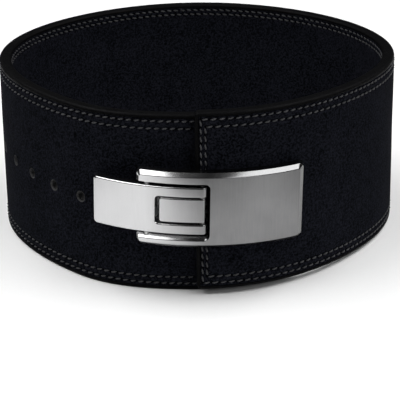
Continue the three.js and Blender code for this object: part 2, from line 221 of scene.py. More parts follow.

# Floor, in metres: where its painted pool of light fades into painted shade, how far the pool widens, its
# two tones and its reach
POOL_FRONT_FADE = (-0.32, -0.225)
POOL_LEFT_FADE = (-0.36, -0.15)
POOL_RIGHT_FADE = (0.12, 0.26)
POOL_BULGE_FROM = (-0.14, -0.03)
POOL_BULGE = 0.12
POOL_SPREAD_FROM = (-0.02, 0.4)
POOL_SPREAD = 1.2
FLOOR_PAINTED_SHADE_GREY = (0.40, 0.40, 0.40)
FLOOR_PAINTED_LIGHT_WHITE = (0.92, 0.92, 0.92)
FLOOR_REACH = 4.0
WORLD_STRENGTH = 0.03


def smooth_step(value, low, high):
    share = np.clip((value - low) / (high - low), 0, 1)
    return share * share * (3 - 2 * share)


def ring_radius_at(angle):
    share = np.ones_like(angle)
    for wave in RING_WAVES:
        share = share + wave["cosine"] * np.cos(wave["waves"] * angle)
        share = share + wave["sine"] * np.sin(wave["waves"] * angle)
    return RING_RADIUS * share


def ring_slope_at(angle):
    slope = np.zeros_like(angle)
    for wave in RING_WAVES:
        turn = wave["waves"] * angle
        slope = slope + wave["waves"] * (wave["sine"] * np.cos(turn) - wave["cosine"] * np.sin(turn))
    return RING_RADIUS * slope


def ring_place(angle, outward):
    """X and Y of points that lie the given distance outside the ring's outer line."""
    radius = ring_radius_at(angle)
    slope = ring_slope_at(angle)
    along_x = slope * np.cos(angle) - radius * np.sin(angle)
    along_y = slope * np.sin(angle) + radius * np.cos(angle)
    length = np.hypot(along_x, along_y)
    x = radius * np.cos(angle) + along_y / length * outward
    y = radius * np.sin(angle) - along_x / length * outward
    return x, y


def measure_ring():
    """Tables of distance along the strap and of angle, and the ring's length."""
    start = FRONT_ANGLE + FLAP_EDGE_X / float(ring_radius_at(np.array(FRONT_ANGLE)))
    angles = start + np.arange(2 * RING_SAMPLES + 1) * 2 * math.pi / RING_SAMPLES
    x, y = ring_place(angles, 0)
    steps = np.hypot(np.diff(x), np.diff(y))
    distances = np.concatenate([[0], np.cumsum(steps)])
    before = 20.0
    angle_before = start - before / float(ring_radius_at(np.array(start)))
    ring_length = distances[RING_SAMPLES]
    return np.concatenate([[-before], distances]), np.concatenate([[angle_before], angles]), ring_length


DISTANCES, ANGLES, RING_LENGTH = measure_ring()
STRAP_LENGTH = RING_LENGTH + LAP_LENGTH


def lift_at(distance):
    return FLAP_LIFT * (1 - smooth_step(distance, 0, FLAP_LIFT_LENGTH))


def strap_points(distance, depth, height):
    """Points of the strap: distance from the flap's end, depth under the outer face, height on it."""
    distance, depth, height = np.broadcast_arrays(distance, depth, height)
    tuck = (STRAP_THICKNESS + LAP_GAP) * smooth_step(distance, RING_LENGTH - TUCK_LENGTH, RING_LENGTH)
    angle = np.interp(distance, DISTANCES, ANGLES)
    x, y = ring_place(angle, -tuck - depth)
    return np.stack([x, y, height + lift_at(distance)], axis=-1)


def strap_point(distance, depth, height):
    return Vector(strap_points(float(distance), float(depth), float(height)))


def row_distance(index):
    return RING_LENGTH - FIRST_HOLE_FROM_FLAP - index * HOLE_PITCH


def row_frame(index):
    return strap_frame(row_distance(index), FIRST_HOLE_HEIGHT + index * HOLE_RISE)


def centre_behind(x, y, radius):
    return y + math.sqrt(radius**2 - x**2)


def find_lever_centre_y():
    """The centre of the lever's curve, which stands off the flap and clears what lies under it."""
    front = Vector(ring_place(np.array(FRONT_ANGLE), 0))
    front_radius = float(ring_radius_at(np.array(FRONT_ANGLE)))
    end_angle = FRONT_ANGLE + math.asin(HOOK_PLATE_RIGHT_X / front_radius)
    end = Vector(ring_place(np.array(end_angle), PIECE_GAP))
    head_top = -3 * PIECE_GAP - BASE_PLATE_THICKNESS - SCREW_HEAD_THICKNESS
    head = strap_point(row_distance(SCREW_COUNT - 1) - SCREW_HEAD_RADIUS, head_top, 0)
    return min(
        centre_behind(front.x, front.y, LEVER_FACE_RADIUS - LEVER_STANDOFF),
        centre_behind(end.x, end.y, LEVER_FACE_RADIUS - HOOK_PLATE_THICKNESS),
        centre_behind(head.x, head.y, LEVER_FACE_RADIUS - HANDLE_THICKNESS),
    )


LEVER_CENTRE_Y = find_lever_centre_y()
PIN_CURVE_RADIUS = LEVER_FACE_RADIUS - HANDLE_THICKNESS / 2


def lever_place(x, radius):
    """Y of a point on a circle round the centre of the lever's curve."""
    return LEVER_CENTRE_Y - math.sqrt(radius**2 - x**2)


def tilted(x, y, z):
    """A point of the lever once it leans, with the hooks' end lower."""
    rise = z - LEVER_HEIGHT
    across = x * math.cos(LEVER_TILT) + rise * math.sin(LEVER_TILT)
    height = LEVER_HEIGHT + rise * math.cos(LEVER_TILT) - x * math.sin(LEVER_TILT)
    return Vector((across, y, height))


def pivot_place(x):
    return tilted(x, lever_place(x, PIN_CURVE_RADIUS), LEVER_HEIGHT)


def find_shift():
    """From the ring's own centre to the part's frame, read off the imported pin."""
    low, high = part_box("handle_pin")
    shift = (low + high) / 2 / MILLIMETRE - pivot_place(HANDLE_PIVOT_X)
    shift.z = 0
    return shift


def add_object(name, data):
    added = bpy.data.objects.new(name, data)
    bpy.context.scene.collection.objects.link(added)
    return added


def make_object(name, points, faces, body=None, material=None, nodes=()):
    """A piece from points in millimetres, which rides on a body and stands for CAD nodes."""
    mesh = bpy.data.meshes.new(name)
    placed = (np.asarray(points, float).reshape(-1, 3) + np.array(SHIFT)) * MILLIMETRE
    mesh.from_pydata(placed.tolist(), [], faces)
    tidy_normals(mesh)
    piece = add_object(name, mesh)
    if material is not None:
        mesh.materials.append(material)
    if body is not None:
        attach(piece, body)
    if nodes:
        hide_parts(*nodes)
    return piece


def make_solid(name, loops, body=None, material=None, nodes=()):
    """A closed piece through loops of points of equal length."""
    return make_object(name, loops, loop_faces(len(loops), len(loops[0])), body, material, nodes)


def tidy_normals(mesh):
    bm = bmesh.new()
    bm.from_mesh(mesh)
    bmesh.ops.recalc_face_normals(bm, faces=bm.faces)
    bm.to_mesh(mesh)
    bm.free()


def shade(piece, sharp_degrees=35, weighted=False):
    mesh = piece.data
    mesh.polygons.foreach_set("use_smooth", [True] * len(mesh.polygons))
    mesh.set_sharp_from_angle(angle=math.radians(sharp_degrees))
    if weighted:
        modifier = piece.modifiers.new("even_shading", "WEIGHTED_NORMAL")
        modifier.keep_sharp = True
        modifier.weight = 100


def combine(piece, others, operation):
    """Cuts others out of a piece or joins them to it, and removes them."""
    for other in others:
        modifier = piece.modifiers.new("combine", "BOOLEAN")
        modifier.operation = operation
        modifier.solver = "MANIFOLD"
        modifier.object = other
    apply_modifiers(piece)
    for other in others:
        bpy.data.objects.remove(other)


def cut(piece, cutters):
    combine(piece, cutters, "DIFFERENCE")


def join_solids(piece, others):
    combine(piece, others, "UNION")


def apply_modifiers(piece):
    graph = bpy.context.evaluated_depsgraph_get()
    graph.update()
    made = bpy.data.meshes.new_from_object(piece.evaluated_get(graph))
    piece.modifiers.clear()
    old = piece.data
    piece.data = made
    bpy.data.meshes.remove(old)


# Strap


def stations_between(start, end, step, close_ends):
    """Even stations, with closer ones near both ends."""
    near = np.array(close_ends)
    middle = np.linspace(start + near[-1], end - near[-1], int((end - start) / step) + 1)
    return np.concatenate([start + near[:-1], middle, (end - near[:-1])[::-1]])


def rounded_inset(from_edge, radius):
    """How far a rounded edge draws a surface in at a distance from the edge."""
    inside = np.clip(radius - from_edge, 0, radius)
    return radius - np.sqrt(radius**2 - inside**2)


def quarter_turns(count):
    return np.arange(count + 1) / count * math.pi / 2


def quarter_steps(radius, count):
    """Distances from an edge that follow a rounding in even turns."""
    return radius * (1 - np.cos(quarter_turns(count)))


def rim_profile():
    """Depth and height over the upper rim, from the outer suede's edge to the inner one's."""
    pocket = SUEDE_THICKNESS + LAYER_GAP
    foot = BELT_WIDTH - RIM_BAND + LAYER_GAP
    turns = quarter_turns(ROUNDING_STEPS * 2)
    lip = [(LIP_ROUNDING * (1 - math.sin(t)), foot + LIP_ROUNDING * (1 - math.cos(t))) for t in turns[::2]]
    crown = BELT_WIDTH - RIM_ROUNDING
    rise = [(RIM_ROUNDING * (1 - math.cos(t)), crown + RIM_ROUNDING * math.sin(t)) for t in turns]
    half = [(pocket, foot)] + lip + rise
    other = [(STRAP_THICKNESS - depth, height) for depth, height in reversed(half)]
    return np.array(half + other)


def core_section():
    upper = rim_profile()
    lower = np.column_stack([upper[::-1, 0], BELT_WIDTH - upper[::-1, 1]])
    return np.concatenate([upper, lower])


def build_core(material, hole_material):
    """The leather between the suede faces, with its rounded rims and ends."""
    section = core_section()
    pocket = np.abs(section[:, 1] - BELT_WIDTH / 2) < BELT_WIDTH / 2 - RIM_BAND + LIP_ROUNDING + LAYER_GAP
    nearest_face = np.where(section[:, 0] < STRAP_THICKNESS / 2, 0, STRAP_THICKNESS)
    end_depth = np.where(pocket, nearest_face, section[:, 0])
    pocket_end = RIM_BAND - LAYER_GAP
    close = quarter_steps(RIM_ROUNDING, ROUNDING_STEPS * 2)
    close = np.concatenate([close, [pocket_end - WALL_STEP, pocket_end]])
    loops = []
    for distance in stations_between(0, STRAP_LENGTH, CORE_STATION, close):
        from_end = min(distance, STRAP_LENGTH - distance)
        depth = end_depth if from_end < pocket_end - WALL_STEP / 2 else section[:, 0]
        inset = rounded_inset(from_end, RIM_ROUNDING)
        corner = rounded_inset(from_end, END_CORNER_RADIUS)
        depth = inset + depth * (STRAP_THICKNESS - 2 * inset) / STRAP_THICKNESS
        height = corner + section[:, 1] * (BELT_WIDTH - 2 * corner) / BELT_WIDTH
        loops.append(strap_points(distance, depth, height))
    core = make_solid("strap_body", loops, "belt", material, ["strap_core"])
    core.data.materials.append(hole_material)
    cut(core, strap_cutters())
    shade(core, 40)


def loop_faces(loop_count, side_count):
    """Faces of a closed body through loops of equal length, with an end face at both ends."""
    faces = []
    for loop in range(loop_count - 1):
        for side in range(side_count):
            here = loop * side_count + side
            after = loop * side_count + (side + 1) % side_count
            faces.append((here, after, after + side_count, here + side_count))
    faces.append(tuple(reversed(range(side_count))))
    faces.append(tuple(range((loop_count - 1) * side_count, loop_count * side_count)))
    return faces


def stitch_rows(outside):
    """Each row: where it runs, from and to, and its pitch. Level rows run along the strap."""
    rows = []
    rows_from_top = ROWS_FROM_TOP if outside else INSIDE_ROWS_FROM_TOP
    for from_end, from_top, from_bottom in zip(ROWS_FROM_END, rows_from_top, ROWS_FROM_BOTTOM):
        top = BELT_WIDTH - from_top
        for height in (top, from_bottom):
            rows.append(make_row(True, height, from_end, STRAP_LENGTH - from_end))
        for distance in (from_end, STRAP_LENGTH - from_end):
            rows.append(make_row(False, distance, from_bottom, top))
    return rows


def make_row(level, place, start, end):
    count = round((end - start) / STITCH_PITCH)
    return {"level": level, "place": place, "start": start, "end": end, "count": count,
            "pitch": (end - start) / count}


def stitch_relief(distance, height, outside):
    """How deep the stitching draws the suede in, and how much painted shade each point near thread or
    needle gets.
    """
    relief = np.zeros(np.broadcast(distance, height).shape)
    seam_shade = np.zeros_like(relief)
    for row in stitch_rows(outside):
        along, across = (distance, height) if row["level"] else (height, distance)
        off_line = (across - row["place"]) / CHANNEL_WIDTH
        inside = smooth_step(along, row["start"] - 1, row["start"])
        inside = inside * (1 - smooth_step(along, row["end"], row["end"] + 1))
        channel = np.exp(-off_line**2) * inside
        steps = (along - row["start"]) / row["pitch"]
        off_needle = (steps - np.round(steps)) * row["pitch"]
        off_place = (across - row["place"]) ** 2 + off_needle**2
        needle = np.exp(-off_place / NEEDLE_WIDTH**2) * inside
        relief = relief + CHANNEL_DEPTH * channel + NEEDLE_DEPTH * needle
        seam_shade = np.maximum(seam_shade, np.maximum(CHANNEL_SHADE_TONE * channel, needle))
    return relief, seam_shade


def suede_swell(distance, height):
    """Low, long unevenness of pressed suede, in millimetres."""
    swell = np.sin(distance / 17 + 1.3) * np.sin(height / 13 + 0.4)
    swell = swell + 0.7 * np.sin(distance / 7.3 + height / 19) * np.sin(height / 8.1 - distance / 31)
    return SUEDE_SWELL * swell


def fine_steps(reach):
    """Distances from a suede edge, close together over its rounding and the stitching."""
    return np.concatenate([quarter_steps(SUEDE_ROUNDING, 3), np.arange(FINE_START, reach, FINE_STEP)])


def suede_heights(low, high):
    bottom = low + fine_steps(FINE_TO_BOTTOM)
    top = high - fine_steps(FINE_TO_TOP)
    middle = np.linspace(bottom[-1], top[-1], COARSE_HEIGHTS)[1:-1]
    return np.concatenate([bottom, middle, top[::-1]])


def build_suede(name, outside, node, material, hole_material):
    """One suede face: a thin closed layer, pressed in along its stitching."""
    low, high = RIM_BAND, BELT_WIDTH - RIM_BAND
    heights = suede_heights(low, high)
    start, end = RIM_BAND, STRAP_LENGTH - RIM_BAND
    distances = stations_between(start, end, SUEDE_STATION, fine_steps(FINE_TO_END))
    s, h = np.meshgrid(distances, heights, indexing="ij")
    from_edge = np.minimum.reduce([h - low, high - h, s - start, end - s])
    relief, seam_shade = stitch_relief(s, h, outside)
    depth = relief + suede_swell(s, h) * smooth_step(from_edge, 0, SWELL_FADE)
    depth = depth + rounded_inset(from_edge, SUEDE_ROUNDING)
    depth = np.minimum(depth, SUEDE_THICKNESS - LEAST_SUEDE)
    back = np.full(len(distances), SUEDE_THICKNESS)
    if not outside:
        depth = STRAP_THICKNESS - depth
        back = STRAP_THICKNESS - back
    front = strap_points(s, depth, h).reshape(-1, 3)
    back_low = strap_points(distances, back, low)
    back_high = strap_points(distances, back, high)
    end_backs = [strap_points(d, back[0], heights[1:-1]) for d in (distances[0], distances[-1])]
    points = np.concatenate([front, back_low, back_high, *end_backs])
    faces = suede_faces(len(distances), len(heights))
    panel = make_object(name, points, faces, "belt", material, [node])
    # Painted shade in the stitch channels and needle holes, stored on the points for the suede's colour
    store_seam_shade(panel, np.concatenate([seam_shade.ravel(), np.zeros(len(points) - len(front))]))
    panel.data.materials.append(hole_material)
    cut(panel, strap_cutters())
    shade(panel, 60)


def suede_faces(station_count, height_count):
    """Front grid, back strips, and the walls between them."""
    last = height_count - 1
    lows = range(station_count * height_count, station_count * (height_count + 1))
    highs = range(lows.stop, lows.stop + station_count)
    first_end = range(highs.stop, highs.stop + height_count - 2)
    second_end = range(first_end.stop, first_end.stop + height_count - 2)
    starts = [lows[0], *first_end, highs[0]]
    ends = [lows[-1], *second_end, highs[-1]]
    faces = []
    for i in range(station_count - 1):
        row = i * height_count
        after = row + height_count
        for j in range(last):
            faces.append((row + j, after + j, after + j + 1, row + j + 1))
        faces.append((row, lows[i], lows[i + 1], after))
        faces.append((row + last, after + last, highs[i + 1], highs[i]))
        low_side = starts if i == 0 else [lows[i], highs[i]]
        high_side = ends if i == station_count - 2 else [lows[i + 1], highs[i + 1]]
        faces.append(tuple(low_side) + tuple(reversed(high_side)))
    for side, row in ((starts, 0), (ends, (station_count - 1) * height_count)):
        for j in range(last):
            faces.append((row + j, row + j + 1, side[j + 1], side[j]))
    return faces


def store_seam_shade(piece, values):
    attribute = piece.data.attributes.new("seam_shade", "FLOAT", "POINT")
    attribute.data.foreach_set("value", values.astype(np.float32))


def strap_frame(distance, height):
    """A matrix at the strap's outer face whose Z points out of the strap, in metres."""
    place = strap_point(distance, 0, height)
    along = strap_point(distance + 1, 0, height) - strap_point(distance - 1, 0, height)
    outward = Vector((along.y, -along.x, 0)).normalized()
    up = Vector((0, 0, 1))
    side = up.cross(outward)
    matrix = Matrix((side, up, outward)).transposed().to_4x4()
    matrix.translation = (place + SHIFT) * MILLIMETRE
    return matrix


def point_in(matrix, x, y, z):
    """A point that is given in a matrix's own axes, in millimetres."""
    return matrix @ (Vector((x, y, z)) * MILLIMETRE) / MILLIMETRE - SHIFT


def turned(name, profile, matrix, body=None, material=None, nodes=()):
    """A turned solid from radius and height pairs along Z, in millimetres, placed by a matrix."""
    angles = np.arange(ROUND_SIDES) * 2 * math.pi / ROUND_SIDES
    loops = []
    for radius, height in profile:
        loops.append([point_in(matrix, radius * math.cos(t), radius * math.sin(t), height) for t in angles])
    return make_solid(name, loops, body, material, nodes)


def hole_cutter(index):
    """A turned cutter whose mouths flare at both faces of the strap."""
    mouth = [
        (HOLE_RADIUS + 3 * HOLE_FLARE, 2 * HOLE_FLARE + CUT_MARGIN),
        (HOLE_RADIUS + HOLE_FLARE, HOLE_MOUTH_RISE),
        (HOLE_RADIUS + 0.3 * HOLE_FLARE, -0.35 * HOLE_FLARE),
        (HOLE_RADIUS, -HOLE_FLARE),
    ]
    profile = mouth + [(radius, -height - STRAP_THICKNESS) for radius, height in reversed(mouth)]
    return turned("hole_cutter", profile, row_frame(index))


def slit_places():
    places = []
    for distance in SLIT_FROM_FLAP_END:
        for side in (-1, 1):
            place = strap_point(distance, 0, 0)
            places.append(Vector((place.x, place.y, LEVER_HEIGHT + side * SLIT_SPACING / 2)))
    return places


def slit_cutter(place):
    """An oblong bar straight back through the flap."""
    half = SLIT_WIDTH / 2
    straight = SLIT_LENGTH / 2 - half
    upper = [(half * math.cos(t), straight + half * math.sin(t)) for t in 2 * quarter_turns(8)]
    outline = upper + [(-x, -z) for x, z in upper]
    reach = (STRAP_THICKNESS + LAP_GAP / 2) * SLIT_CUT_REACH
    loops = []
    for y in (SLIT_CUT_START, reach):
        loops.append([tilted(place.x + x, place.y + y, place.z + z) for x, z in outline])
    return make_solid("slit_cutter", loops)


def strap_cutters():
    holes = [hole_cutter(index) for index in range(SCREW_COUNT + FREE_HOLE_COUNT)]
    slits = [slit_cutter(place) for place in slit_places()]
    for cutter in holes:
        cutter.data.materials.append(None)
        cutter.data.materials.append(None)
        cutter.data.polygons.foreach_set("material_index", [1] * len(cutter.data.polygons))
    return holes + slits


def stitch_ends(outside):
    """Both ends of each stitch, as distance and height, but for those that the lap hides."""
    hidden_from, hidden_to = (RING_LENGTH - 1, STRAP_LENGTH) if outside else (0, LAP_LENGTH - 2)
    half = STITCH_LENGTH / 2
    lean = STITCH_SLANT / 2
    starts, ends = [], []
    for row in stitch_rows(outside):
        place = row["place"]
        for middle in row["start"] + (np.arange(row["count"]) + 0.5) * row["pitch"]:
            if row["level"]:
                first, second = (middle - half, place - lean), (middle + half, place + lean)
            else:
                first, second = (place + lean, middle - half), (place - lean, middle + half)
            if not hidden_from < first[0] < hidden_to:
                starts.append(first)
                ends.append(second)
    return np.array(starts), np.array(ends)


def build_stitches(name, outside, material):
    """Twisted thread in short stitches that dip into the suede at both ends."""
    starts, ends = stitch_ends(outside)
    run = ends - starts
    u = np.linspace(0, 1, THREAD_RINGS)
    theta = np.arange(THREAD_SIDES) * 2 * math.pi / THREAD_SIDES
    line = starts[:, None, :] + run[:, None, :] * u[None, :, None]
    direction = run / np.linalg.norm(run, axis=1)[:, None]
    side = np.stack([-direction[:, 1], direction[:, 0]], axis=1)
    arch = np.sin(math.pi * u) ** 0.7
    taper = THREAD_TIP_SHARE + (1 - THREAD_TIP_SHARE) * np.sin(math.pi * u) ** 0.5
    strands = np.cos(2 * (theta[None, :] - math.pi * THREAD_TWISTS * u[:, None]))
    radius = THREAD_RADIUS * taper[:, None] * (1 + THREAD_TWIST_DEPTH * strands)
    sideways = radius * np.cos(theta)[None, :]
    outward = radius * np.sin(theta)[None, :] * THREAD_FLATNESS
    place = line[:, :, None, :] + side[:, None, None, :] * sideways[None, :, :, None]
    depth = CHANNEL_DEPTH + THREAD_DIP - (THREAD_RISE + THREAD_DIP) * arch[:, None] - outward
    depth = np.broadcast_to(depth[None, :, :], place.shape[:3])
    if not outside:
        depth = STRAP_THICKNESS - depth
    points = strap_points(place[..., 0], depth, place[..., 1]).reshape(-1, 3)
    one = loop_faces(THREAD_RINGS, THREAD_SIDES)
    faces = []
    for first in range(0, len(points), THREAD_RINGS * THREAD_SIDES):
        faces += [tuple(first + corner for corner in face) for face in one]
    stitches = make_object(name, points, faces, "belt", material)
    shade(stitches, 80)


# Lever


def outline_loop(corners, offset, shares):
    """Points round a front outline of rounded corners, drawn in by a share of an offset per edge.

    A corner is x, height, radius and turn, where turn 1 is an outward corner and -1 an inward one.
    The edge after each corner has the share at that corner's place.
    """
    points = []
    count = len(corners)
    for index, (x, v, radius, turn) in enumerate(corners):
        before = np.array(corners[index - 1][:2]) - np.array((x, v))
        after = np.array(corners[(index + 1) % count][:2]) - np.array((x, v))
        before = before / np.linalg.norm(before)
        after = after / np.linalg.norm(after)
        offset_before = offset * shares[index - 1]
        offset_after = offset * shares[index]
        reach = max(radius - turn * (offset_before + offset_after) / 2, 0.02)
        corner = np.array((x, v)) + turn * (after * offset_before + before * offset_after)
        centre = corner + (before + after) * reach
        for bend in quarter_turns(2 * ROUNDING_STEPS):
            points.append(centre - reach * (after * math.cos(bend) + before * math.sin(bend)))
    return np.array(points)


def mirrored(lower):
    """An outline's corners from those of its lower half."""
    return lower + [(x, -v, radius, turn) for x, v, radius, turn in reversed(lower)]


def rounded_front(rounding):
    """Offset and depth over a rounded front edge."""
    turns = quarter_turns(ROUNDING_STEPS)
    return [(rounding * (1 - math.sin(t)), rounding * (1 - math.cos(t))) for t in turns]


def bevelled_front(height, depth):
    """Offset and depth over a flat bevel with softened edges."""
    return [
        (height + 0.35, 0.0),
        (height + 0.1, 0.04),
        (height - 0.15, 0.2),
        (0.2, depth - 0.25),
        (0.05, depth),
        (0.0, depth + 0.4),
    ]


def bent_block(name, corners, face_radius, thickness, front, reshape=None, closer=(), shares=None):
    """A solid with a front outline, shaped front edges, rounded back ones, and the lever's curve."""
    levels = list(front)
    for turn in quarter_turns(ROUNDING_STEPS):
        back = thickness - BACK_ROUNDING * (1 - math.sin(turn))
        levels.append((BACK_ROUNDING * (1 - math.cos(turn)), back))
    shares = shares or [1.0] * len(corners)
    loops = []
    for offset, depth in levels:
        loop = outline_loop(corners, offset, shares)
        loops.append(np.column_stack([loop, np.full(len(loop), depth)]))
    points = np.concatenate(loops)
    faces = loop_faces(len(loops), len(loops[0]))
    bm = bmesh.new()
    verts = [bm.verts.new(point) for point in points]
    for face in faces:
        bm.faces.new([verts[corner] for corner in face])
    low, high = points[:, 0].min(), points[:, 0].max()
    planes = list(np.arange(low + LEVER_STEP / 2, high, LEVER_STEP)) + list(closer)
    for x in planes:
        geometry = bm.verts[:] + bm.edges[:] + bm.faces[:]
        bmesh.ops.bisect_plane(bm, geom=geometry, dist=1e-4, plane_co=(x, 0, 0), plane_no=(1, 0, 0))
    for vert in bm.verts:
        x, v, depth = vert.co
        if reshape is not None:
            depth = reshape(x, depth)
        place = tilted(x, lever_place(x, face_radius - depth), LEVER_HEIGHT + v)
        vert.co = (place + SHIFT) * MILLIMETRE
    bmesh.ops.recalc_face_normals(bm, faces=bm.faces)
    mesh = bpy.data.meshes.new(name)
    bm.to_mesh(mesh)
    bm.free()
    return add_object(name, mesh)


def take_place(piece, body, material, node):
    piece.data.materials.clear()
    piece.data.materials.append(material)
    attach(piece, body)
    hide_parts(node)


def upright_bar(name, x, radius, length, rounding=0.0, material=None, body=None, nodes=()):
    """A bar at one of the lever's pivots."""
    matrix = Matrix.Translation((pivot_place(x) + SHIFT) * MILLIMETRE)
    matrix = matrix @ Matrix.Rotation(LEVER_TILT, 4, "Y")
    half = length / 2
    if rounding > 0:
        ends = [(radius - rounding, 0), (radius - 0.3 * rounding, 0.3 * rounding), (radius, rounding)]
        profile = [(r, -half + z) for r, z in ends] + [(r, half - z) for r, z in reversed(ends)]
    else:
        profile = [(radius, -half), (radius, half)]
    return turned(name, profile, matrix, body, material, nodes)


def knuckle_depth(x, depth, half):
    """Draws a depth to the middle of a thickness, where a piece is rounded off past the pivot."""
    past = min(max(x - HANDLE_PIVOT_X, 0), half - KNUCKLE_MARGIN)
    return half + (depth - half) * math.sqrt(1 - (past / half) ** 2)


def knuckle_planes(half):
    """Places along X that follow that rounding in even turns."""
    turns = quarter_turns(KNUCKLE_STEPS)[:-1]
    return [HANDLE_PIVOT_X + half * math.sin(turn) for turn in turns]


def build_handle(material):
    """The curved bar, forked round the tongue and rounded off at its pivot."""
    half = HANDLE_WIDTH / 2
    slot = HANDLE_SLOT_WIDTH / 2
    knuckle = HANDLE_THICKNESS / 2
    right = HANDLE_PIVOT_X + knuckle - KNUCKLE_FLAT
    radius = HANDLE_CORNER_RADIUS
    corners = mirrored([
        (HANDLE_TIP_X, -half, radius, 1),
        (right, -half, FORK_OUTER_RADIUS, 1),
        (right, -slot, FORK_INNER_RADIUS, 1),
        (HANDLE_SLOT_END_X, -slot, radius, -1),
    ])

    def round_off(x, depth):
        return knuckle_depth(x, depth, knuckle)

    handle = bent_block("lever_handle_bar", corners, LEVER_FACE_RADIUS, HANDLE_THICKNESS,
                        rounded_front(HANDLE_ROUNDING), round_off, knuckle_planes(knuckle))
    bore = PIN_RADIUS + PIN_CLEARANCE
    cut(handle, [upright_bar("bore", x, bore, 2 * HANDLE_WIDTH) for x in (HANDLE_PIVOT_X, HOOK_PIVOT_X)])
    take_place(handle, "lever_handle", material, "handle")
    shade(handle, weighted=True)


def build_hook_plate(material):
    """The wide plate with its arms, turned rims and hooks."""
    half = HOOK_PLATE_WIDTH / 2
    notch = CUTOUT_WIDTH / 2
    notch_end = HANDLE_PIVOT_X + HANDLE_THICKNESS / 2 + CUTOUT_GAP
    radius = HOOK_PLATE_CORNER_RADIUS
    left, right = HOOK_PLATE_LEFT_X, HOOK_PLATE_RIGHT_X
    corners = [
        (left, -half, radius, 1),
        (right, -half, radius, 1),
        (right, half, radius, 1),
        (left, half, radius, 1),
        (left, notch, ARM_TIP_RADIUS, 1),
        (notch_end, notch, CUTOUT_CORNER_RADIUS, -1),
        (notch_end, -notch, CUTOUT_CORNER_RADIUS, -1),
        (left, -notch, ARM_TIP_RADIUS, 1),
    ]
    notch_shares = [UPPER_NOTCH_BEVEL_SHARE, NOTCH_BEVEL_SHARE, 1]
    shares = [1, 1, 1, ARM_END_BEVEL_SHARE, *notch_shares, ARM_END_BEVEL_SHARE]
    front = bevelled_front(BEVEL_HEIGHT, BEVEL_DEPTH)
    plate = bent_block("lever_hook_plate", corners, LEVER_FACE_RADIUS, HOOK_PLATE_THICKNESS, front,
                       shares=shares)
    wall = HOOK_PLATE_WALL
    pocket_ends = (notch_end + wall, right - wall)
    pocket_corners = mirrored([(x, wall - half, POCKET_CORNER_RADIUS, 1) for x in pocket_ends])
    pocket = bent_block("pocket", pocket_corners, LEVER_FACE_RADIUS - wall, HOOK_PLATE_THICKNESS,
                        rounded_front(POCKET_ROUNDING))
    seat_length = CUTOUT_WIDTH + 2 * HOOK_PIN_SEAT + 2 * PIN_CLEARANCE
    seat = upright_bar("seat", HOOK_PIVOT_X, PIN_RADIUS + PIN_CLEARANCE, seat_length)
    cut(plate, [pocket, seat])
    join_solids(plate, [build_hook(place) for place in slit_places()])
    take_place(plate, "lever_hooks", material, "hook_plate")
    shade(plate, weighted=True)


def build_hook(place):
    """One flat hook, with a rounded tip, that stands in its slit."""
    root = lever_place(place.x, LEVER_FACE_RADIUS - HOOK_PLATE_WALL / 2)
    tip = place.y + HOOK_REACH
    half = HOOK_THICKNESS / 2
    levels = [(1.0, root), (1.0, tip - 0.8), (0.94, tip - 0.3), (0.7, tip)]
    loops = []
    for share, y in levels:
        corners = rounded_rectangle(half * share, HOOK_WIDTH / 2 - half * (1 - share), 0.5 * share)
        loops.append([tilted(place.x + x, y, place.z + z) for x, z in corners])
    return make_solid("hook", loops)


def rounded_rectangle(half_x, half_z, radius):
    points = []
    for quarter, (side_x, side_z) in enumerate([(1, 1), (-1, 1), (-1, -1), (1, -1)]):
        for step in range(5):
            turn = (quarter + step / 4) * math.pi / 2
            x = side_x * (half_x - radius) + radius * math.cos(turn)
            z = side_z * (half_z - radius) + radius * math.sin(turn)
            points.append((x, z))
    return points


def build_base_plate(material):
    """The plate on the strap beside the flap, with the tongue that carries the handle."""
    end = RING_LENGTH - BASE_PLATE_FROM_FLAP
    start = end - BASE_PLATE_LENGTH
    middle = -PIECE_GAP - BASE_PLATE_THICKNESS / 2
    close = quarter_steps(BASE_PLATE_CORNER_RADIUS, 6)
    loops = []
    for distance in stations_between(start, end, BASE_PLATE_STATION, close):
        from_end = min(distance - start, end - distance)
        inset = BASE_PLATE_END_THINNING * rounded_inset(from_end, BASE_PLATE_ROUNDING)
        half_width = BASE_PLATE_WIDTH / 2 - rounded_inset(from_end, BASE_PLATE_CORNER_RADIUS)
        half_thick = BASE_PLATE_THICKNESS / 2 - inset
        corners = np.array(rounded_rectangle(half_thick, half_width, BASE_PLATE_ROUNDING - inset))
        loops.append(strap_points(distance, middle + corners[:, 0], BASE_PLATE_HEIGHT + corners[:, 1]))
    plate = make_solid("lever_base_plate", loops)
    join_solids(plate, [build_tongue(end)])
    bore = SCREW_RADIUS + PIN_CLEARANCE
    profile = [(bore, BORE_REACH), (bore, 0)]
    cutters = [turned("bore", profile, row_frame(index)) for index in range(SCREW_COUNT)]
    cutters.append(upright_bar("bore", HANDLE_PIVOT_X, PIN_RADIUS + PIN_CLEARANCE, 2 * TONGUE_WIDTH))
    cut(plate, cutters)
    take_place(plate, "belt", material, "base_plate")
    shade(plate, weighted=True)


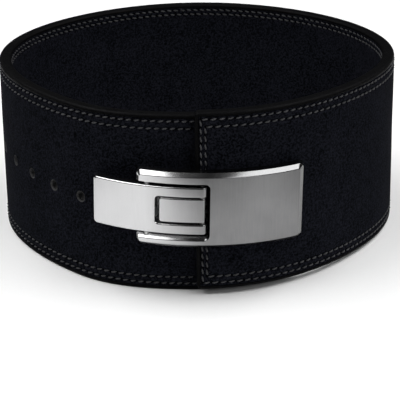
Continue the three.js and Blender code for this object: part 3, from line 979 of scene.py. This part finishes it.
def build_tongue(plate_end):
    """The tongue in the handle's slot, which reaches back to the base plate and is round at the pin."""
    face_radius = LEVER_FACE_RADIUS - TONGUE_SETBACK
    knuckle = face_radius - PIN_CURVE_RADIUS
    foot_depth = -PIECE_GAP - BASE_PLATE_THICKNESS / 2
    left = strap_point(plate_end - TONGUE_LENGTH, foot_depth, 0)
    right_foot = strap_point(plate_end, foot_depth, 0)
    half = TONGUE_WIDTH / 2
    right = HANDLE_PIVOT_X + knuckle - KNUCKLE_FLAT
    corners = mirrored([(left.x, -half, TONGUE_FOOT_RADIUS, 1), (right, -half, TONGUE_END_RADIUS, 1)])
    thickness = 2 * knuckle

    def reach_plate(x, depth):
        depth = knuckle_depth(x, depth, knuckle)
        if depth > thickness * TONGUE_FOOT_SHARE and x < right_foot.x + WALL_STEP:
            foot_y = left.y + (right_foot.y - left.y) * (x - left.x) / (right_foot.x - left.x)
            reach = face_radius - math.hypot(x, LEVER_CENTRE_Y - foot_y)
            depth = reach - (thickness - depth)
        return depth

    closer = knuckle_planes(knuckle) + [right_foot.x, right_foot.x + KNUCKLE_FLAT]
    return bent_block("tongue", corners, face_radius, thickness, rounded_front(TONGUE_BEVEL),
                      reach_plate, closer)


def build_pins(material):
    handle_pin_length = HANDLE_WIDTH - 2 * PIN_SETBACK
    hook_pin_length = CUTOUT_WIDTH + 2 * HOOK_PIN_SEAT
    shade(upright_bar("pin_of_handle", HANDLE_PIVOT_X, PIN_RADIUS, handle_pin_length, PIN_ROUNDING,
                      material, "belt", ["handle_pin"]))
    shade(upright_bar("pin_of_hooks", HOOK_PIVOT_X, PIN_RADIUS, hook_pin_length, PIN_ROUNDING,
                      material, "lever_handle", ["hook_pin"]))


def build_screws_and_posts(material):
    base = 2 * PIECE_GAP + BASE_PLATE_THICKNESS
    top = base + SCREW_HEAD_THICKNESS
    screw_profile = [(SCREW_RADIUS, 2 * PIECE_GAP - STRAP_THICKNESS), (SCREW_RADIUS, base)]
    screw_profile += [(SCREW_HEAD_RADIUS - inset, base + rise) for inset, rise in SCREW_DOME]
    inner = -STRAP_THICKNESS - POST_FLANGE_GAP
    outer = inner - POST_FLANGE_THICKNESS
    post_profile = [(POST_FLANGE_RADIUS - inset, outer + rise) for inset, rise in POST_DOME]
    post_profile += [
        (POST_FLANGE_RADIUS, inner - POST_EDGE),
        (POST_FLANGE_RADIUS - POST_EDGE, inner),
        (POST_RADIUS, inner),
        (POST_RADIUS, -PIECE_GAP),
    ]
    bore_profile = [(POST_RADIUS - POST_WALL, inner), (POST_RADIUS - POST_WALL, 1)]
    for index in range(SCREW_COUNT):
        matrix = row_frame(index)
        screw = turned(f"screw_{index + 1}", screw_profile, matrix, "belt", material,
                       [f"lever_screw_{index + 1}"])
        cut(screw, [slot_cutter(matrix, top - SLOT_DEPTH, top + 1)])
        post = turned(f"post_{index + 1}", post_profile, matrix, "belt", material,
                      [f"lever_post_{index + 1}"])
        bore = turned("bore", bore_profile, matrix)
        cut(post, [slot_cutter(matrix, outer - 1, outer + SLOT_DEPTH), bore])
        shade(screw)
        shade(post)


def slot_cutter(matrix, low, high):
    """A thin bar across a screw's head or a post's flange, for its slot."""
    reach = 2 * SCREW_HEAD_RADIUS
    half = SLOT_WIDTH / 2
    corners = [(-reach, -half), (reach, -half), (reach, half), (-reach, half)]
    return make_solid("slot", [[point_in(matrix, x, y, z) for x, y in corners] for z in (low, high)])


# Materials


class Nodes:
    """Short calls for the nodes of one material."""

    def __init__(self, name, settings):
        self.material = bpy.data.materials.new(name)
        self.material.use_nodes = True
        self.tree = self.material.node_tree
        self.shader = self.tree.nodes["Principled BSDF"]
        for socket, value in settings.items():
            self.shader.inputs[socket].default_value = value
        self.place = self.add("ShaderNodeTexCoord").outputs["Object"]

    def add(self, kind, values=None):
        """A new node, with values set on its inputs."""
        node = self.tree.nodes.new(kind)
        for socket, value in (values or {}).items():
            node.inputs[socket].default_value = value
        return node

    def link(self, output, target):
        self.tree.links.new(output, target)

    def drive(self, socket, output):
        self.link(output, self.shader.inputs[socket])

    def axes(self):
        """X, Y and Z of a point, in metres."""
        parts = self.add("ShaderNodeSeparateXYZ")
        self.link(self.place, parts.inputs["Vector"])
        return parts.outputs["X"], parts.outputs["Y"], parts.outputs["Z"]

    def stretched(self, scale):
        node = self.add("ShaderNodeMapping", {"Scale": scale})
        self.link(self.place, node.inputs["Vector"])
        return node.outputs["Vector"]

    def noise(self, size, detail=3.0, roughness=0.6, scale=(1, 1, 1)):
        """Noise whose features are about the given size, in millimetres."""
        values = {"Scale": 1 / (size * MILLIMETRE), "Detail": detail, "Roughness": roughness}
        node = self.add("ShaderNodeTexNoise", values)
        self.link(self.stretched(scale), node.inputs["Vector"])
        return node.outputs["Fac"]

    def cells(self, size):
        node = self.add("ShaderNodeTexVoronoi", {"Scale": 1 / (size * MILLIMETRE)})
        node.feature = "DISTANCE_TO_EDGE"
        self.link(self.place, node.inputs["Vector"])
        return node.outputs["Distance"]

    def attribute(self, name):
        node = self.add("ShaderNodeAttribute")
        node.attribute_name = name
        return node.outputs["Fac"]

    def spread(self, value, low, high, from_low=0.3, from_high=0.7, smooth=False):
        values = {"From Min": from_low, "From Max": from_high, "To Min": low, "To Max": high}
        node = self.add("ShaderNodeMapRange", values)
        node.interpolation_type = "SMOOTHSTEP" if smooth else "LINEAR"
        self.link(value, node.inputs["Value"])
        return node.outputs["Result"]

    def maths(self, operation, first, second):
        node = self.add("ShaderNodeMath")
        node.operation = operation
        for socket, value in zip(node.inputs, (first, second)):
            if isinstance(value, (int, float)):
                socket.default_value = value
            else:
                self.link(value, socket)
        return node.outputs["Value"]

    def total(self, *values):
        result = values[0]
        for value in values[1:]:
            result = self.maths("ADD", result, value)
        return result

    def colours(self, factor, dark, light):
        node = self.add("ShaderNodeMix")
        node.data_type = "RGBA"
        self.link(factor, node.inputs[0])
        for socket, colour in ((node.inputs[6], dark), (node.inputs[7], light)):
            if isinstance(colour, tuple):
                socket.default_value = (*colour, 1)
            else:
                self.link(colour, socket)
        return node.outputs[2]

    def bump(self, height, strength, distance):
        values = {"Strength": strength, "Distance": distance * MILLIMETRE}
        node = self.add("ShaderNodeBump", values)
        self.link(height, node.inputs["Height"])
        self.drive("Normal", node.outputs["Normal"])


def suede_material():
    """Brushed black suede: fine nap, broad brushed patches, and painted shade in the needle holes and
    stitch channels.
    """
    nodes = Nodes("black_suede", {
        "Roughness": 0.9,
        "Specular IOR Level": 0.01,
        "Sheen Weight": 0.002,
        "Sheen Roughness": 0.5,
        "Sheen Tint": (0.8, 0.84, 1.0, 1.0),
    })
    nap = nodes.noise(1.1, 4, 0.75)
    patches = nodes.noise(16, 3, 0.55)
    streaks = nodes.noise(2.2, 3, 0.6, (1, 1, 0.35))
    tone = nodes.total(
        nodes.spread(nap, 0, 0.65, 0.45, 0.55),
        nodes.spread(patches, 0, 0.19),
        nodes.spread(streaks, 0, 0.16),
    )
    brushed = nodes.colours(tone, (0.0001, 0.0002, 0.0004), (0.0122, 0.0129, 0.0180))
    # Painted shade: near-black where the stitching draws the suede in
    nodes.drive("Base Color", nodes.colours(nodes.attribute("seam_shade"), brushed, (0.0006, 0.0006, 0.0008)))
    nodes.drive("Roughness", nodes.spread(nap, 0.82, 0.98))
    nodes.bump(nodes.total(nap, nodes.maths("MULTIPLY", streaks, 0.6)), 0.55, 0.35)
    return nodes.material


def leather_material(name, dark, light, roughness):
    """Dyed leather: a fine grain with creases, and polish that varies."""
    nodes = Nodes(name, {"Specular IOR Level": 0.04})
    grain = nodes.cells(0.9)
    patches = nodes.noise(9, 3, 0.6)
    scuffs = nodes.noise(1.6, 4, 0.7)
    nodes.drive("Base Color", nodes.colours(nodes.spread(scuffs, 0, 1), dark, light))
    nodes.drive("Roughness", nodes.spread(patches, roughness - 0.08, roughness + 0.12))
    relief = nodes.total(nodes.spread(grain, 0, 1, 0, 0.25), nodes.spread(scuffs, 0, 0.8))
    nodes.bump(relief, 0.25, 0.15)
    return nodes.material


def thread_material():
    """Grey thread whose brightness varies from stitch to stitch."""
    nodes = Nodes("grey_thread", {
        "Specular IOR Level": 0.2,
        "Sheen Weight": 0.05,
    })
    fibre = nodes.noise(0.25, 3, 0.7)
    drift = nodes.noise(6, 2, 0.6)
    tone = nodes.total(nodes.spread(fibre, 0, 0.5), nodes.spread(drift, 0, 0.5))
    nodes.drive("Base Color", nodes.colours(tone, (0.018, 0.018, 0.020), (0.064, 0.064, 0.068)))
    nodes.drive("Roughness", nodes.spread(fibre, 0.45, 0.7))
    nodes.bump(fibre, 0.4, 0.1)
    return nodes.material


def grey(value):
    return (value, value, value * 1.01)


def metal_material(name, tone_range, painted_reflection_range, roughness, line_strength):
    """Plated metal: faint polishing lines along Z, an uneven polish, and a painted reflection that makes it
    brighter towards the left.
    """
    nodes = Nodes(name, {"Metallic": 1.0})
    lines = nodes.noise(0.5, 3, 0.6, (1, 1, 0.04))
    clouds = nodes.noise(14, 3, 0.55)
    specks = nodes.noise(1.1, 3, 0.7)
    tone = nodes.total(nodes.spread(clouds, 0, 0.6), nodes.spread(lines, 0, 0.4))
    plain = nodes.colours(tone, *[grey(value) for value in tone_range])
    painted_reflection_tone = nodes.colours(tone, *[grey(value) for value in painted_reflection_range])
    x, _, _ = nodes.axes()
    # Painted reflection: the metal's tone is lighter left of the fade along X
    nodes.drive("Base Color", nodes.colours(nodes.spread(x, 1, 0, *PAINTED_REFLECTION_FADE), plain, painted_reflection_tone))
    polish = nodes.total(nodes.spread(clouds, roughness, roughness + 0.05), nodes.spread(specks, 0, 0.03))
    nodes.drive("Roughness", polish)
    nodes.bump(nodes.total(lines, nodes.maths("MULTIPLY", clouds, 1.2)), line_strength, 0.05)
    return nodes.material


def painted_light_floor_material():
    """A pale floor with a painted pool of light, wider behind the belt and at the left, that fades to
    painted grey shade.
    """
    nodes = Nodes("pale_floor_with_painted_light_pool", {"Roughness": 0.9, "Specular IOR Level": 0.05})
    x, y, _ = nodes.axes()
    bulge = nodes.spread(x, POOL_BULGE, 0, *POOL_BULGE_FROM, smooth=True)
    widening = nodes.spread(y, 0, POOL_SPREAD, *POOL_SPREAD_FROM, smooth=True)
    from_front = nodes.spread(nodes.total(y, bulge), 0, 1, *POOL_FRONT_FADE, smooth=True)
    from_left = nodes.spread(nodes.total(x, widening), 0, 1, *POOL_LEFT_FADE, smooth=True)
    right_place = nodes.maths("SUBTRACT", x, widening)
    from_right = nodes.spread(right_place, 1, 0, *POOL_RIGHT_FADE, smooth=True)
    share = nodes.maths("MULTIPLY", from_front, nodes.maths("MULTIPLY", from_left, from_right))
    share = nodes.maths("MULTIPLY", share, nodes.spread(nodes.noise(3, 3, 0.6), 0.98, 1.0))
    # Painted pool of light: white inside the pool, painted shade in grey outside it
    nodes.drive("Base Color", nodes.colours(share, FLOOR_PAINTED_SHADE_GREY, FLOOR_PAINTED_LIGHT_WHITE))
    return nodes.material


# Studio


def add_floor():
    reach = FLOOR_REACH
    mesh = bpy.data.meshes.new("floor")
    corners = [(-reach, -reach, 0), (reach, -reach, 0), (reach, reach, 0), (-reach, reach, 0)]
    mesh.from_pydata(corners, [], [(0, 1, 2, 3)])
    mesh.materials.append(painted_light_floor_material())
    floor = add_object("floor", mesh)


def add_softbox(name, place, target, size, power):
    light = bpy.data.lights.new(name, "AREA")
    light.shape = "RECTANGLE"
    light.size, light.size_y = size
    light.energy = power
    softbox = add_object(name, light)
    softbox.location = place
    softbox.rotation_euler = (Vector(target) - Vector(place)).to_track_quat("-Z", "Y").to_euler()


def add_lights():
    world = bpy.data.worlds.new("studio")
    world.use_nodes = True
    background = world.node_tree.nodes["Background"]
    background.inputs["Color"].default_value = (1.0, 1.0, 1.0, 1.0)
    background.inputs["Strength"].default_value = WORLD_STRENGTH
    bpy.context.scene.world = world
    add_softbox("left_top", (-0.75, 0, 1.15), target=(-0.75, 0, 0), size=(1.0, 1.8), power=22)
    add_softbox("right_top", (0.85, 0, 1.15), target=(0.85, 0, 0), size=(0.9, 1.8), power=21)
    add_softbox("front", (0.8, -1.4, 0.8), target=(0, 0, 0.05), size=(0.5, 0.5), power=4.6)


def add_camera():
    data = bpy.data.cameras.new("camera")
    data.sensor_width = SENSOR_WIDTH
    data.lens = FOCAL_PIXELS / IMAGE_SIZE * SENSOR_WIDTH
    data.shift_y = -VIEW_CENTRE_ABOVE_MIDDLE / IMAGE_SIZE
    data.clip_start = 0.01
    data.clip_end = 50
    pitch = Matrix.Rotation(math.pi / 2 - CAMERA_PITCH, 4, "X")
    roll = Matrix.Rotation(-CAMERA_ROLL, 4, "Z")
    camera = add_object("camera", data)
    camera.matrix_world = Matrix.Translation(CAMERA_PLACE) @ pitch @ roll
    bpy.context.scene.camera = camera


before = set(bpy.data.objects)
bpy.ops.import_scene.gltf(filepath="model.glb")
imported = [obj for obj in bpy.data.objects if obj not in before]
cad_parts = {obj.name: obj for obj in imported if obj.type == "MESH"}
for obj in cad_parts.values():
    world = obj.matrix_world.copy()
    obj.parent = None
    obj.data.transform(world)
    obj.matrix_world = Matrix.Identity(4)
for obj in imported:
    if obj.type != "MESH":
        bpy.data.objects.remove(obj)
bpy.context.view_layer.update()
SHIFT = find_shift()

suede = suede_material()
rim_leather = leather_material("dyed_leather", (0.0006, 0.0006, 0.0008), (0.0022, 0.0022, 0.0026), 0.5)
cut_leather = leather_material("cut_leather", (0.030, 0.030, 0.031), (0.065, 0.065, 0.066), 0.7)
thread = thread_material()
# The second range of each metal is its painted reflection, used towards the left
polished = metal_material("polished_metal", (0.17, 0.22), (0.54, 0.61), 0.15, 0.08)
steel = metal_material("plain_steel", (0.36, 0.5), (0.42, 0.58), 0.28, 0.2)

build_core(rim_leather, cut_leather)
build_suede("suede_outside", True, "outer_suede", suede, cut_leather)
build_suede("suede_inside", False, "inner_suede", suede, cut_leather)
build_stitches("stitches_outside", True, thread)
build_stitches("stitches_inside", False, thread)
build_handle(polished)
build_hook_plate(polished)
build_base_plate(polished)
build_pins(steel)
build_screws_and_posts(steel)

add_floor()
add_lights()
add_camera()
bpy.context.scene.view_settings.view_transform = "Standard"
